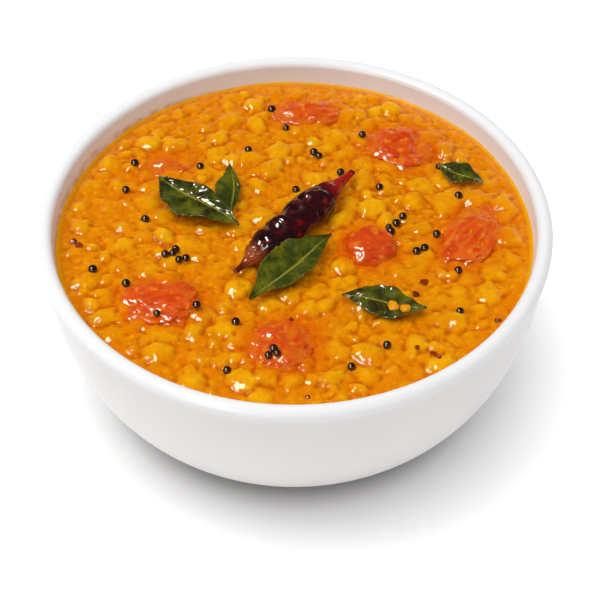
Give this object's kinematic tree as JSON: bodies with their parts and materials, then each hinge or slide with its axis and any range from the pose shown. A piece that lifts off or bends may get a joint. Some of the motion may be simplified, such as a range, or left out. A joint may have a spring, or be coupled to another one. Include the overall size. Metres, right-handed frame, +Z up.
{
  "type": "bowl of dal",
  "caption": "White rolled-lip bowl of thick yellow lentil dal, topped with a dried red chilli, curry leaves and soft tomato pieces.",
  "frame": {"origin": "centre of the bowl's foot, on the surface it stands on", "axes": "+Z up along the bowl's axis; +X to the right and +Y away as the bowl is served, with the chilli's stalk end pointing to +X +Y"},
  "size_m": [0.15, 0.15, 0.0616],
  "materials": {
    "bowl_glaze": "smooth white glaze, soft gloss",
    "dal": "wet, soft yellow lentils in orange gravy",
    "chilli_skin": "oiled, wrinkled dark red skin",
    "curry_leaf": "fried leaf, glossy and veined",
    "tomato": "cooked tomato flesh and skin, wet",
    "mustard_seed": "black-brown popped seed"
  },
  "bodies": {
    "root": {"bowl": "bowl_glaze", "dal": "dal", "chilli": "chilli_skin", "curry_leaf_1": "curry_leaf", "curry_leaf_2": "curry_leaf", "curry_leaf_3": "curry_leaf", "curry_leaf_4": "curry_leaf", "curry_leaf_5": "curry_leaf", "tomato_1": "tomato", "tomato_2": "tomato", "tomato_3": "tomato", "tomato_4": "tomato", "tomato_5": "tomato", "tomato_6": "tomato", "tomato_7": "tomato"}
  },
  "joints": []
}
